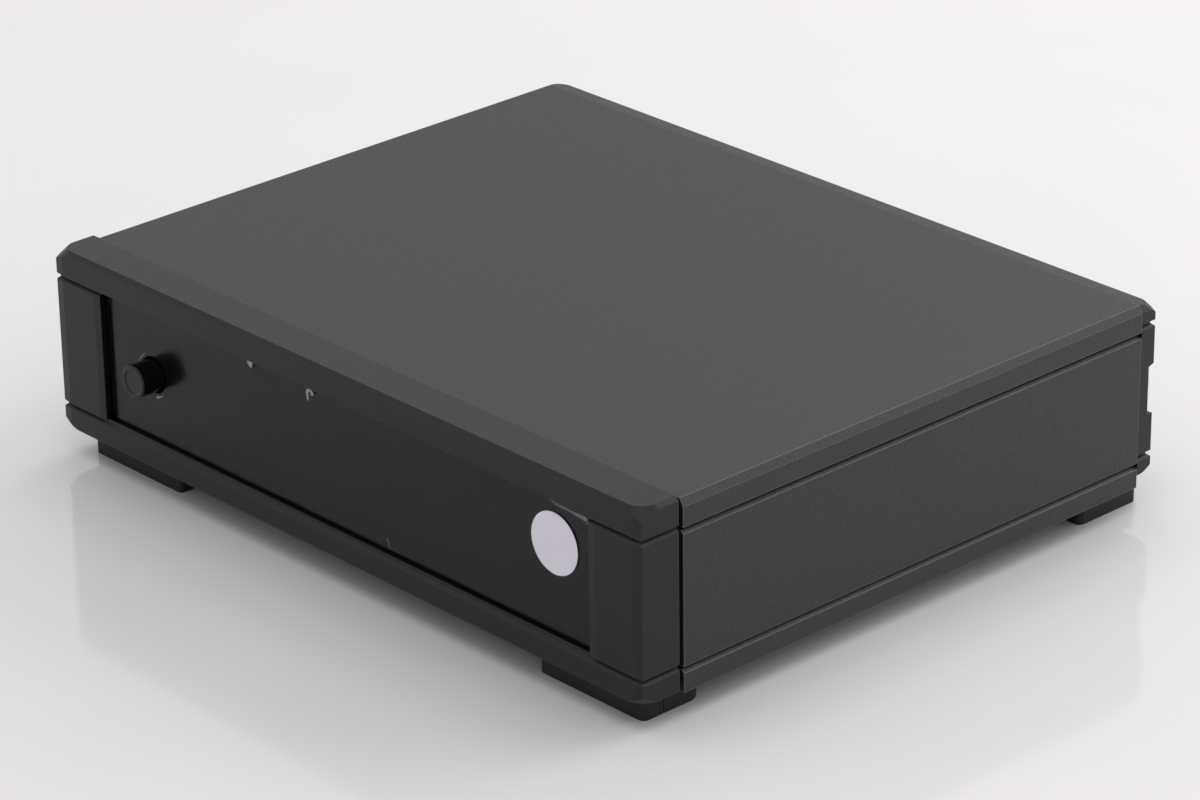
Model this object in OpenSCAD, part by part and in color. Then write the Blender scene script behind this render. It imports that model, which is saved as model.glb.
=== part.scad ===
// Phono preamp: a half-width case of two moulded bezels, a cover, two side panels and a tray,
// with a push button behind a gloss panel, one main board, and sockets along the back.
// X runs to the right, Y to the back and Z up. The feet stand at Z = 0, and the origin is the
// middle of the whole footprint, from the button's tip to the end of the sockets.

/* [Case] */
// Width over the sides
case_w = 180.8; // [176:0.2:190]
// Depth from the front of the lips to the back of the rear bezel
case_d = 145.4; // [142:0.2:165]
// Height of the tray's underside above the floor
foot_h = 5.65; // [4.5:0.05:9]
// Underside of the front bezel above the tray's underside
bezel_lift = 0.5; // [0.5:0.05:1.4]
// Height of the front bezel's lower lip
bottom_lip_h = 6.05; // [5.6:0.05:7]
// Height of the window between the two lips
window_h = 29.6; // [29:0.1:36]
// Height of the front bezel's upper lip
top_lip_h = 5.95; // [5.2:0.05:7]
// How far the body's seams and top sit below those of the bezels
body_drop = 1; // [0.6:0.1:1.2]

/* [Seams and bevels] */
// Height of the slot at a seam
seam_gap = 0.75; // [0.5:0.05:0.9]
// Depth of a seam
seam_depth = 0.75; // [0.4:0.05:1]
// Height of the bevel below a seam's gap
seam_bevel_h = 0.65; // [0.4:0.05:0.9]
// Bevel round the top of the front bezel
top_bevel = 0.9; // [0.5:0.1:1.2]
// Radius of the front bezel's top outline at its corners
top_corner_r = 3.7; // [3:0.1:5.5]
// Bevel round the underside of the front bezel
base_bevel = 0.3; // [0.2:0.1:0.6]
// Radius of the front bezel's bottom outline at its corners
base_corner_r = 4.4; // [3:0.1:6]
// Width of the slight bevel down the front bezel's outer edges
upright_bevel_w = 2.3; // [1:0.1:3]
// Depth of that bevel at the edge
upright_bevel_d = 0.3; // [0.2:0.05:0.6]
// Depth of the cover's edge bevel, measured inwards
cover_bevel_w = 1; // [0.4:0.05:1.2]
// Height of the cover's edge bevel
cover_bevel_h = 1.65; // [0.8:0.05:2]

/* [Front bezel] */
// Depth of the front bezel at its outer faces
front_d = 9.8; // [9.6:0.1:12]
// Width of the groove between the front bezel and the body
groove_w = 1.2; // [0.8:0.1:1.6]
// Depth of that groove
groove_depth = 1.6; // [1.2:0.1:2]
// Width of each corner post, up to its inner wall
post_w = 14.8; // [12:0.2:20]
// Width of the slight bevel down the inner edge of each post
post_bevel_w = 1.8; // [0.5:0.1:2.4]
// Depth of that bevel at the edge
post_bevel_d = 0.2; // [0.1:0.05:0.6]
// Ledge that the gloss panel is glued to
ledge_w = 4; // [3:0.5:5]

/* [Gloss panel] */
// Depth of the panel's face behind the lips
panel_recess = 1.8; // [1.4:0.1:2.4]
// Thickness of the panel
panel_t = 3; // [2.5:0.1:3.6]
// Clearance round the panel
panel_clear = 0.1; // [0.05:0.05:0.3]
// Thickness of the protective film
film_t = 0.1; // [0.08:0.01:0.2]
// Margin of bare panel left round the film
film_margin = 0.4; // [0.2:0.1:2]
// Width of the hair gap behind the film, and behind its sticker
film_gap = 0.05; // [0.02:0.01:0.1]
// Radius of the round cut-out in the film at the button
film_hole_r = 5; // [4.7:0.1:6]
// Radius of the round sticker
sticker_r = 6.6; // [4:0.1:9]
// Distance of the sticker's middle from the window's right end
sticker_inset = 11.1; // [9.5:0.1:30]
// Place of the sticker, above the lower lip
sticker_h = 19.5; // [12:0.5:19.5]

/* [Power button] */
// Radius of the button
button_r = 3.65; // [3.2:0.05:4]
// How far the button's face stands out from the panel
button_proud = 5.6; // [4.5:0.1:7]
// Clearance between the button and the panel's hole
button_clear = 0.5; // [0.3:0.05:0.6]
// Distance of the button's axis from the window's left end
button_inset = 15.3; // [14:0.1:24]
// Height of the button's axis above the lower lip
button_h = 14.9; // [13:0.1:17]
// Travel of the button
button_travel = 3; // [2:0.1:3.2]
// Radius of the flange that keeps the button in
button_flange_r = 5.4; // [4.9:0.1:6]
// Thickness of that flange
button_flange_t = 1.2; // [1:0.1:1.4]
// Rounding of the button's front rim
button_rim_r = 0.4; // [0.2:0.05:0.8]
// Depth of the dish in the button's face
button_dish = 0.25; // [0.1:0.05:0.5]
// Radius of the switch plunger
plunger_r = 1.4; // [1.1:0.05:1.7]
// Width and height of the switch body
switch_w = 9; // [8:0.5:11]
// Length of the switch body
switch_l = 7; // [6.6:0.1:9]
// Outer radius of the return spring
spring_r = 3; // [2.4:0.1:3.4]
// Wire thickness of the return spring
spring_wire = 0.4; // [0.3:0.05:0.5]
// Turns of the return spring
spring_turns = 4; // [3:1:5]

/* [Body shells] */
// Thickness of the cover's top plate
cover_t = 2.2; // [1.8:0.1:2.4]
// Thickness of the upright walls of the cover, side panels and tray
wall_t = 2; // [1.8:0.1:2.6]
// Thickness of the tray's floor
tray_t = 1.5; // [1.2:0.1:1.8]
// Thickness of the side panels' inner web
web_t = 1.4; // [1:0.1:2]
// Fitting clearance between the shells
shell_clear = 0.2; // [0.1:0.05:0.3]
// Radius of the pillars under the cover
pillar_r = 3.6; // [3:0.1:4.2]
// Clearance between a pillar and the main board
pillar_clear = 0.8; // [0.4:0.1:1.2]
// Distance of the pillars from the side of the case
pillar_inset = 15; // [13:0.5:20]
// Distance of the front pillars from the front
pillar_front_y = 30; // [28:0.5:36]
// Distance of the rear pillars from the back of the case
pillar_rear = 33.4; // [32:0.2:40]

/* [Rear bezel and panel] */
// Depth of the rear bezel
rear_d = 4.05; // [4.05:0.1:5.5]
// Underside of the rear bezel above the tray's underside
rear_lift = 2.5; // [2.2:0.1:2.8]
// How far the rear bezel's seams lie above those of the front bezel
rear_seam_up = 0.8; // [0:0.1:1.3]
// Fall of the rear bezel's top towards the back
rear_fall = 0.55; // [0.2:0.05:0.8]
// Bevel round the rear bezel's top and sides
rear_bevel = 0.9; // [0.5:0.1:1]
// Radius of the rear bezel's top outline at its corners
rear_corner_r = 2.8; // [2.4:0.1:3]
// Width of the rear bezel's posts
rear_post_w = 6; // [5:0.1:6.4]
// Height of the rear bezel's inner lips above and below its window
rear_lip_in = 2; // [1.5:0.1:3]
// Depth of the notch cut into the outside of the rear posts
notch_depth = 1.5; // [1:0.1:2]
// Lower edge of the notch above the lower seam
notch_low = 9.3; // [8:0.1:10]
// Height of the notch at its floor
notch_h = 10.8; // [8:0.1:11]
// Height of the sloping end at the top of the notch
notch_slope_h = 0.5; // [0.5:0.1:1.5]
// Thickness of the steel rear panel
rear_panel_t = 1.2; // [1:0.1:1.5]

/* [Feet] */
// Width of a foot
foot_w = 29.6; // [24:0.2:30]
// Depth of a front foot
foot_d = 16.4; // [14:0.1:17]
// Depth of a rear foot
foot_rear_d = 17.8; // [15:0.1:18]
// Distance of the front feet from the side of the case
foot_inset = 4.4; // [3:0.1:6]
// Distance of the front feet from the front
foot_front_y = 4.3; // [4:0.1:6]
// Distance of the rear feet from the side of the case
foot_rear_inset = 3.6; // [3:0.1:6]
// Distance of the rear feet from the back of the rear bezel, less than 0 for standing out
foot_rear_y = -0.4; // [-0.5:0.1:2]
// Radius of a foot's outer corners
foot_r = 1.5; // [1:0.1:3]
// Radius of the rear outer corner of a front foot
foot_round_r = 4; // [2:0.1:5]
// Radius of a foot's inner corners
foot_inner_r = 1; // [0.5:0.1:2]
// Width of the fine joint line in a foot's outer side
foot_line_w = 0.3; // [0.2:0.05:0.5]

/* [Screws] */
// Radius of the screws' shanks
screw_r = 1.45; // [1.2:0.05:1.6]
// Radius of the screws' heads
screw_head_r = 2.8; // [2.4:0.1:3.2]
// Height of the screws' heads
screw_head_h = 1.6; // [1.4:0.1:2]
// Radial clearance round a screw
screw_clear = 0.15; // [0.05:0.05:0.3]
// How far a screw reaches past the sheet that it holds
screw_grip = 4; // [3:0.1:4.2]
// Distance of the bezel screws from the side of the case
bezel_screw_inset = 45; // [40:0.5:54]
// Width of the bosses that take the bezel screws
boss_w = 10; // [8:0.5:12]
// Length of those bosses
boss_l = 8; // [7:0.1:8]
// Height of those bosses
boss_h = 4.4; // [4.3:0.1:4.6]

/* [Main board] */
// Thickness of the boards
board_t = 1.6; // [1.2:0.1:2]
// Height of the standoffs under the main board
standoff_h = 5.1; // [4.8:0.1:5.4]
// Distance across the flats of the standoffs
standoff_af = 5.5; // [5:0.1:7]
// Distance of the standoffs from the side of the case
standoff_inset = 30; // [26:0.5:34]
// Clearance between the main board and the side panels
board_side_clear = 2; // [1.5:0.1:2.4]
// Front edge of the main board
board_front_y = 21; // [20.8:0.1:23]
// Clearance between the main board and the rear panel
board_rear_clear = 2.6; // [2:0.1:4]

/* [Phono sockets] */
// Outer radius of a socket's shell
shell_r = 4.15; // [4.15:0.05:4.3]
// Wall thickness of a shell
shell_wall = 0.5; // [0.4:0.05:0.6]
// How far a shell stands out from the rear panel
shell_out = 12.8; // [9:0.1:14]
// Height of the sockets' axes above the main board
socket_h = 9.35; // [8:0.05:10.5]
// Distance between the two sockets of a pair
socket_pitch = 14; // [13:0.1:15]
// Distance of the outermost input socket from the side of the case
input_inset = 12.5; // [12:0.1:14]
// Distance between the input pair and the output pair
pair_gap = 57.9; // [56:0.1:66]
// Width of a socket block beyond each socket's axis
block_side = 6.4; // [6:0.1:6.4]
// Depth of a socket block
block_d = 13; // [11:0.5:15]
// Height of a socket block above a socket's axis
block_top = 6; // [5:0.1:7]
// Radius of the bore in a socket's centre contact
contact_bore_r = 1.65; // [1.6:0.01:1.7]
// Wall thickness of the centre contact
contact_wall = 0.35; // [0.25:0.05:0.45]
// Depth of the bore in a socket's centre contact
contact_depth = 9.5; // [8:0.1:11]
// How far the insert's face lies inside the shell's mouth
insert_recess = 1; // [0.5:0.1:2]
// Step by which a shell narrows where it enters the rear panel
shell_step = 0.2; // [0.1:0.05:0.3]

/* [Ground post] */
// Radius of the ground stud
stud_r = 2; // [1.7:0.05:2.1]
// How far the stud reaches past the thumb nut when the nut is fully open
stud_end = 0.3; // [0.2:0.1:0.8]
// Running clearance between the stud and the thumb nut
thread_clear = 0.06; // [0.02:0.01:0.1]
// Radius of the thumb nut
nut_r = 4.5; // [4:0.1:5]
// Length of the thumb nut
nut_l = 7; // [6:0.1:8]
// Number of flutes round the thumb nut
nut_flutes = 18; // [12:1:24]
// Radius of the washer under the thumb nut
washer_r = 4.4; // [3.8:0.1:5]
// Thickness of that washer
washer_t = 0.8; // [0.6:0.1:1]
// Thickness of the insulating collar on the rear panel
collar_t = 1; // [0.8:0.1:1.4]
// Lead of the thumb nut's thread, its travel in one turn
thread_lead = 0.7; // [0.5:0.05:0.8]
// Turns by which the thumb nut can be opened
nut_turns = 4; // [2:1:4]
// Slack at each face of the washer when the nut is closed
washer_slack = 0.05; // [0.02:0.01:0.1]

/* [Power inlet] */
// Distance of the power inlet from the side of the case
inlet_inset = 22; // [20:0.5:30]
// Inner radius of the power inlet
inlet_bore_r = 2.9; // [2.75:0.05:3.2]
// Radius of the inlet's round nose
inlet_nose_r = 4; // [4:0.1:4.5]
// Depth of the inlet's bore
inlet_depth = 9.5; // [8:0.1:10.5]
// Width of the inlet's body
inlet_w = 9; // [9:0.1:10]
// Length of the inlet's body behind the rear panel
inlet_l = 13; // [12.5:0.1:15]
// How far the inlet's nose stands out from the rear panel
inlet_proud = 1.2; // [0.8:0.1:1.6]
// How far the centre pin's tip lies inside the nose's mouth
inlet_pin_recess = 1.2; // [0.8:0.1:2]
// Radius of the inlet's centre pin
inlet_pin_r = 1.05; // [0.95:0.05:1.25]

/* [Circuit parts] */
// Radius of the large electrolytic capacitors
big_cap_r = 6.25; // [5:0.25:6.5]
// Height of the large electrolytic capacitors
big_cap_h = 20; // [16:0.5:24]
// Radius of the small electrolytic capacitors
small_cap_r = 3.15; // [2.5:0.05:3.5]
// Height of the small electrolytic capacitors
small_cap_h = 11; // [8:0.5:13]
// Length of a film capacitor
film_cap_l = 13; // [10:0.5:13.5]
// Thickness of a film capacitor
film_cap_w = 5; // [4:0.5:5.5]
// Height of a film capacitor
film_cap_h = 9; // [7:0.5:12]
// Length of an amplifier chip
chip_l = 9.6; // [8:0.1:10.5]
// Width of an amplifier chip
chip_w = 6.4; // [5:0.1:6.8]
// Height of an amplifier chip
chip_h = 3.6; // [3:0.1:4.5]
// Radius of a resistor
resistor_r = 1.2; // [0.8:0.1:1.3]
// Length of a resistor
resistor_l = 6.5; // [5:0.1:7]
// Height of the regulator's heat sink
sink_h = 22; // [18:0.5:24]
// Width of the heat sink
sink_w = 16; // [14:0.5:20]
// Number of fins on the heat sink
sink_fins = 5; // [4:1:6]
// Length of the muting relay
relay_l = 20; // [18:0.5:21]
// Width of the muting relay
relay_w = 10; // [9:0.5:11]
// Height of the muting relay
relay_h = 11.5; // [9:0.5:14]

/* [Indicator] */
// Radius of the indicator lamp
lamp_r = 1.5; // [1.3:0.1:1.7]
// Width of the light guide behind the panel
guide_w = 18; // [14:0.5:22]
// Height of the light guide
guide_h = 4.6; // [4:0.1:6]
// Height of the light guide's middle above the lower lip
guide_mid_h = 6.9; // [6.9:0.1:8]

/* [Hidden] */

$fn = 64;
// Overshoot that keeps cut faces from coinciding
cut = 1;
// Sliver left between shells that meet end to end
end_gap = 0.05;

half_w = case_w / 2;

// Places along X, counted from the side of the case
pillar_x = half_w - pillar_inset;
bezel_screw_x = half_w - bezel_screw_inset;
standoff_x = half_w - standoff_inset;
inlet_x = half_w - inlet_inset;
input_x = half_w - input_inset;
output_x = input_x - pair_gap;
// The ground post stands midway between the two pairs of sockets
ground_x = (input_x + output_x - socket_pitch) / 2;

// Heights of the front bezel's levels
bezel_z = foot_h + bezel_lift;
low_seam = bezel_z + bottom_lip_h;
high_seam = low_seam + window_h;
bezel_top = high_seam + top_lip_h;

// Lower edge of the bevel below the low seam, and that bevel as [depth, height]
low_arris = low_seam - seam_gap - seam_bevel_h;
seam_bevel = [seam_depth, seam_bevel_h];

// Heights of the body's levels
body_low = low_seam - body_drop;
body_high = high_seam - body_drop;
cover_top = bezel_top - body_drop;
tray_top = foot_h + tray_t;

// Depths along Y, measured from the front of the lips
body_front = front_d + groove_w;
rear_front = case_d - rear_d;
body_back = rear_front - end_gap;
panel_back = panel_recess + panel_t;
window_half = half_w - post_w;
ledge_half = window_half - ledge_w;
sticker_x = window_half - sticker_inset;
button_x = window_half - button_inset;
pillar_rear_y = case_d - pillar_rear;
rear_panel_y = body_back - end_gap;

// The front of the whole object is the button's tip, and its back the end of the shells or
// of the ground stud
front_reach = button_proud - panel_recess;
nut_travel = thread_lead * nut_turns;
stud_out = collar_t + washer_t + 2 * washer_slack + nut_l + nut_travel + stud_end;
shell_end = rear_panel_y + shell_out;
rear_reach = max(shell_end, rear_panel_y + stud_out);
middle_y = (rear_reach - front_reach) / 2;

// Boards
board_z = tray_top + standoff_h;
board_top = board_z + board_t;
web_x = half_w - wall_t - web_t;
board_half = web_x - board_side_clear;
board_back_y = rear_panel_y - rear_panel_t - board_rear_clear;
socket_z = board_top + socket_h;

// Button, switch and the small board behind the panel
button_z = low_seam + button_h;
flange_y = panel_back + film_gap;
flange_back = flange_y + button_flange_t;
front_board_y = board_front_y - board_t - 0.3;
switch_y = front_board_y - switch_l;
lamp_z = low_seam + guide_mid_h;

// Feet
foot_x = half_w - foot_inset - foot_w;
foot_rear_x = half_w - foot_rear_inset - foot_w;
foot_rear_start = case_d - foot_rear_y - foot_rear_d;
foot_screw_x = foot_x + foot_w / 2;
foot_screw_front_y = foot_front_y + foot_d - screw_head_r - 1.2;
foot_screw_rear_y = foot_rear_start + screw_head_r + 1.2;
// Rubber left above a foot screw's head
foot_sheet = 2.4;
// Distance from a front foot's front edge to its joint line
foot_line_y = 5.2;

// Rows of standoffs, from the front of the case
standoff_rows = [board_front_y + 8, board_back_y - 26];

// Phono sockets along X, the middles of their blocks, and where their shells start
socket_places = [input_x, input_x - socket_pitch, output_x, output_x - socket_pitch];
block_middles = [input_x - socket_pitch / 2, output_x - socket_pitch / 2];
rear_panel_front = rear_panel_y - rear_panel_t;
block_wall = 2;
shell_start = rear_panel_front - block_d + block_wall;
shell_inner_r = shell_r - shell_step;
insert_r = shell_inner_r - shell_wall;
contact_r = contact_bore_r + contact_wall;
insert_face = shell_end - insert_recess;
// Height of a block's fixing screw above the sockets' axes
socket_screw_up = 3.6;

// Ground post along Y. The washer and the nut keep a little slack when closed.
washer_y = rear_panel_y + collar_t + washer_slack;
thumb_nut_y = washer_y + washer_t + washer_slack;
stud_inner = 6;
stud_head_t = 2;
lock_nut_t = 2.4;

// Power inlet
inlet_z = board_top + inlet_w / 2;
inlet_mouth = rear_panel_y + inlet_proud;

// Where the circuit parts stand: the middles of the two channels and the rows behind each other
right_channel = half_w - 42;
channel_x = [right_channel - 54, right_channel];
row_resistors = board_front_y + 20;
row_chips = board_front_y + 38;
row_caps = board_front_y + 60;
row_films = board_front_y + 78;
sink_x = 38 - half_w;
sink_y = board_front_y + 40;
large_cap_x = 44 - half_w;
large_cap_y = sink_y + 25;
relay_x = output_x - socket_pitch / 2;
relay_y = rear_panel_front - block_d - 16;

// Moves a piece from the case's own measures to the frame with its origin in the middle
module placed() {
    translate([0, -middle_y, 0]) children();
}

// A box given by its lowest and highest corners
module block(low, high) {
    translate(low) cube(high - low);
}

// A round bar along Y
module bar_y(x, y, z, r, length) {
    translate([x, y, z]) rotate([-90, 0, 0]) cylinder(r = r, h = length);
}

// A shape turned about an axis along Y, drawn as radius against distance along Y
module turned_y(x, y, z) {
    translate([x, y, z]) rotate([-90, 0, 0]) rotate_extrude() children();
}

// Mirrored copies at both sides of the case
module both_sides() {
    children();
    mirror([1, 0, 0]) children();
}

// The edge of a plate that is bevelled at its foot and head, as [depth, height] from its face.
// foot and head are the bevels, given the same way.
function edge_profile(z0, z1, foot, head) =
    [[foot[0], z0], [0, z0 + foot[1]], [0, z1 - head[1]], [head[0], z1]];

// A plate whose front and sides are bevelled at its foot and head, with mitred front corners
module bevel_plate(half, front, back, z0, z1, foot = [0, 0], head = [0, 0]) {
    profile = edge_profile(z0, z1, foot, head);
    intersection() {
        translate([-half, 0, 0]) rotate([90, 0, 90]) linear_extrude(2 * half)
            polygon(concat([for (p = profile) [front + p[0], p[1]]], [[back, z1], [back, z0]]));
        translate([0, back, 0]) rotate([90, 0, 0]) linear_extrude(back - front)
            polygon(concat([for (p = profile) [half - p[0], p[1]]],
                           [for (i = [3:-1:0]) [profile[i][0] - half, profile[i][1]]]));
    }
}

// The same with round front corners of radius r
module round_plate(half, front, back, z0, z1, r, foot = [0, 0], head = [0, 0]) {
    profile = edge_profile(z0, z1, foot, head);
    // Middle stretch, between the corners
    translate([-(half - r), 0, 0]) rotate([90, 0, 90]) linear_extrude(2 * (half - r))
        polygon(concat([for (p = profile) [front + p[0], p[1]]], [[back, z1], [back, z0]]));
    // Sides, behind the corners
    translate([0, back, 0]) rotate([90, 0, 0]) linear_extrude(back - front - r)
        polygon(concat([for (p = profile) [half - p[0], p[1]]],
                       [for (i = [3:-1:0]) [profile[i][0] - half, profile[i][1]]]));
    // Corners
    for (side = [-1, 1]) translate([side * (half - r), front + r, 0])
        rotate_extrude() polygon(concat([for (p = profile) [r - p[0], p[1]]], [[0, z1], [0, z0]]));
}

// A lip of a bezel: upright faces with sharp corners, cut by a cone-cornered bevel at one end
module lip(half, front, back, z0, z1, bevel, outline_r, at_top) {
    // How far the sloping faces are carried past the upright ones, to cut the whole corner
    reach = 0.8 * outline_r;
    slope = [reach + bevel, reach + bevel];
    intersection() {
        bevel_plate(half, front, back, z0, z1);
        round_plate(half + reach, front - reach, back,
                    at_top ? z1 - reach - bevel - outline_r : z0,
                    at_top ? z1 : z0 + reach + bevel + outline_r,
                    outline_r + reach + bevel,
                    at_top ? [0, 0] : slope, at_top ? slope : [0, 0]);
    }
}

// A self-tapping or machine screw pointing up, with its head's underside at z
module screw_up(x, y, z, length) {
    difference() {
        union() {
            translate([x, y, z]) cylinder(r = screw_r, h = length);
            translate([x, y, z - screw_head_h]) cylinder(r = screw_head_r, h = screw_head_h);
        }
        cross_recess(x, y, z - screw_head_h);
    }
}

// A cross recess in the end of a screw's head, opening downwards at z
module cross_recess(x, y, z) {
    arm = 1.3 * screw_r;
    slot = 0.42 * screw_r;
    depth = 0.55 * screw_head_h;
    for (turn = [0, 90]) translate([x, y, z - cut]) rotate(turn)
        translate([-arm, -slot, 0]) cube([2 * arm, 2 * slot, depth + cut]);
}

// ---------------------------------------------------------------- front

module front_bezel() {
    color("#343233") placed() difference() {
        union() {
            // Lower lip, posts and upper lip, each a plate, with the slots' necks between
            lip(half_w, 0, front_d, bezel_z, low_arris, base_bevel, base_corner_r, false);
            bevel_plate(half_w, 0, front_d, low_arris, low_seam - seam_gap, head = seam_bevel);
            bevel_plate(half_w, 0, front_d, low_seam, high_seam - seam_gap, head = seam_bevel);
            lip(half_w, 0, front_d, high_seam, bezel_top, top_bevel, top_corner_r, true);
            // Core that carries the layers and forms the floor of the groove behind them
            bevel_plate(half_w - groove_depth, groove_depth, body_front - end_gap,
                        foot_h + tray_t + end_gap, cover_top - groove_depth);
            bevel_plate(half_w - seam_depth, seam_depth, front_d, low_arris - cut, high_seam + cut);
            bezel_bosses(body_front - end_gap - cut, 1);
        }
        // Window for the panel, with bevelled posts
        block([-window_half, -cut, low_seam], [window_half, panel_back, high_seam]);
        both_sides() translate([0, 0, low_seam]) linear_extrude(window_h)
            polygon([[window_half - post_bevel_w / 2, -post_bevel_d / 2],
                     [window_half + 1.5 * post_bevel_w, -post_bevel_d / 2],
                     [window_half - post_bevel_w / 2, 1.5 * post_bevel_d]]);
        // Slight bevel down the outer edges
        both_sides() translate([0, 0, bezel_z - cut]) linear_extrude(bezel_top - bezel_z + 2 * cut)
            polygon([[half_w - 1.5 * upright_bevel_w, -upright_bevel_d / 2],
                     [half_w + upright_bevel_w / 2, -upright_bevel_d / 2],
                     [half_w + upright_bevel_w / 2, 1.5 * upright_bevel_d]]);
        // Opening behind the panel
        block([-ledge_half, panel_back - cut, low_seam + ledge_w / 2],
              [ledge_half, body_front + cut, high_seam - ledge_w / 2]);
        for (side = [-1, 1]) boss_hole(side * bezel_screw_x, body_front + boss_l / 2);
    }
}

// Two bosses on the tray's floor that take a bezel's screws; direction is 1 towards the back
module bezel_bosses(start, direction) {
    far = direction > 0 ? start + cut + boss_l : start - cut - boss_l;
    for (side = [-1, 1])
        block([side * bezel_screw_x - boss_w / 2, min(start, far), tray_top],
              [side * bezel_screw_x + boss_w / 2, max(start, far), tray_top + boss_h]);
}

// Pilot hole for a bezel screw
module boss_hole(x, y) {
    translate([x, y, tray_top - cut]) cylinder(r = screw_r + screw_clear, h = boss_h + 2 * cut);
}

module front_panel() {
    color("#161516") placed() difference() {
        block([-window_half + panel_clear, panel_recess, low_seam + panel_clear],
              [window_half - panel_clear, panel_back, high_seam - panel_clear]);
        bar_y(-button_x, panel_recess - cut, button_z, button_r + button_clear, panel_t + 2 * cut);
    }
}

module protective_film() {
    front = panel_recess - film_gap - film_t;
    edge = window_half - film_margin;
    color([0.8, 0.82, 0.85, 0.25]) placed() difference() {
        block([-edge, front, low_seam + film_margin],
              [edge, front + film_t, high_seam - film_margin]);
        bar_y(-button_x, front - cut, button_z, film_hole_r, film_t + 2 * cut);
    }
}

module film_sticker() {
    color("white") placed()
        bar_y(sticker_x, panel_recess - 2 * film_gap - 2 * film_t, low_seam + sticker_h,
              sticker_r, film_t);
}

module power_button() {
    front = -front_reach;
    color("#242324") placed() difference() {
        turned_y(-button_x, 0, button_z)
            polygon([[0, front + button_dish], [button_r - 3 * button_rim_r, front + button_dish],
                     [button_r - 2 * button_rim_r, front], [button_r - button_rim_r, front],
                     for (a = [75:-15:0]) [button_r - button_rim_r + button_rim_r * cos(a),
                                           front + button_rim_r - button_rim_r * sin(a)],
                     [button_r, flange_y], [button_flange_r, flange_y],
                     [button_flange_r, flange_back], [0, flange_back]]);
        bar_y(-button_x, panel_recess, button_z, plunger_r + film_gap,
              flange_back - panel_recess + cut);
    }
}

module switch_plunger() {
    // The plunger's tail stays inside the switch at both ends of the travel
    tail = front_board_y - button_travel - 0.4;
    color("#d8d2c4") placed()
        bar_y(-button_x, panel_recess, button_z, plunger_r, tail - panel_recess);
}

module power_switch() {
    color("#2c2c2e") placed() difference() {
        block([-button_x - switch_w / 2, switch_y, button_z - switch_w / 2],
              [-button_x + switch_w / 2, front_board_y, button_z + switch_w / 2]);
        bar_y(-button_x, switch_y - cut, button_z, plunger_r + 0.1, switch_l + cut - 0.15);
    }
}

// The return spring: one wire swept along a helix, from the flange to the switch
module button_spring() {
    start = flange_back + spring_wire / 2 + film_gap;
    end = switch_y - spring_wire / 2 - film_gap;
    steps = 20 * spring_turns;
    sides = 6;
    coil_r = spring_r - spring_wire / 2;
    rings = [for (i = [0:steps]) let (a = 360 * spring_turns * i / steps)
        [for (k = [0:sides - 1]) let (b = 360 * k / sides, r = coil_r + spring_wire / 2 * cos(b))
            [r * cos(a), start + (end - start) * i / steps + spring_wire / 2 * sin(b), r * sin(a)]]];
    points = [for (ring = rings) each ring];
    skin = [for (i = [0:steps - 1]) for (k = [0:sides - 1]) let (n = (k + 1) % sides)
        [i * sides + k, i * sides + n, (i + 1) * sides + n, (i + 1) * sides + k]];
    first = [for (k = [sides - 1:-1:0]) k];
    last = [for (k = [0:sides - 1]) steps * sides + k];
    color("silver") placed() translate([-button_x, 0, button_z])
        polyhedron(points, concat([first], skin, [last]));
}

module front_board() {
    left = -button_x - switch_w / 2 - 2;
    right = guide_w / 2 + 2;
    color("#1d4a33") placed()
        block([left, front_board_y, board_top + 0.2], [right, front_board_y + board_t,
              button_z + switch_w / 2 + 1.5]);
}

// The lamp: a round lens on a collar, pointing forwards from the front board
module indicator_lamp() {
    length = front_board_y - panel_back - 3.2;
    color("#e9e6df") placed() {
        bar_y(0, front_board_y - length, lamp_z, lamp_r, length);
        bar_y(0, front_board_y - 1, lamp_z, lamp_r + 0.4, 1);
    }
}

// A clear block that spreads the lamp's light behind the panel
module light_guide() {
    color([0.9, 0.95, 1, 0.6]) placed()
        block([-guide_w / 2, panel_back + film_gap, lamp_z - guide_h / 2],
              [guide_w / 2, panel_back + 3, lamp_z + guide_h / 2]);
}

// The right-angle pin strip that joins the front board to the main board
module board_header() {
    pins = 8;
    pitch = 2.54;
    left = -button_x + switch_w;
    color("#202022") placed() {
        block([left, front_board_y + board_t, board_top],
              [left + pins * pitch, front_board_y + board_t + 2.5, board_top + 2.5]);
        for (i = [0:pins - 1])
            block([left + (i + 0.5) * pitch - 0.32, front_board_y + board_t + 2.5, board_top + 0.9],
                  [left + (i + 0.5) * pitch + 0.32, front_board_y + board_t + 4.5, board_top + 1.54]);
    }
}

// ---------------------------------------------------------------- body

// A length of the body's profile, drawn as X against Z and run from front to back
module body_run() {
    translate([0, body_back, 0]) rotate([90, 0, 0]) linear_extrude(body_back - body_front) children();
}

module top_cover() {
    skirt_in = half_w - wall_t;
    color("#4a4748") placed() difference() {
        union() {
            body_run() polygon([
                [half_w, body_high], [half_w, cover_top - cover_bevel_h],
                [half_w - cover_bevel_w, cover_top], [cover_bevel_w - half_w, cover_top],
                [-half_w, cover_top - cover_bevel_h], [-half_w, body_high],
                [-skirt_in, body_high], [-skirt_in, cover_top - cover_t],
                [skirt_in, cover_top - cover_t], [skirt_in, body_high]]);
            for_pillars() translate([0, 0, tray_top])
                cylinder(r = pillar_r, h = cover_top - cover_t / 2 - tray_top);
        }
        for_pillars() translate([0, 0, tray_top - cut])
            cylinder(r = screw_r + screw_clear, h = screw_grip + 2 * cut);
    }
}

// Places a child at each of the cover's four pillars
module for_pillars() {
    for (side = [-1, 1]) for (y = [pillar_front_y, pillar_rear_y])
        translate([side * pillar_x, y, 0]) children();
}

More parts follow.
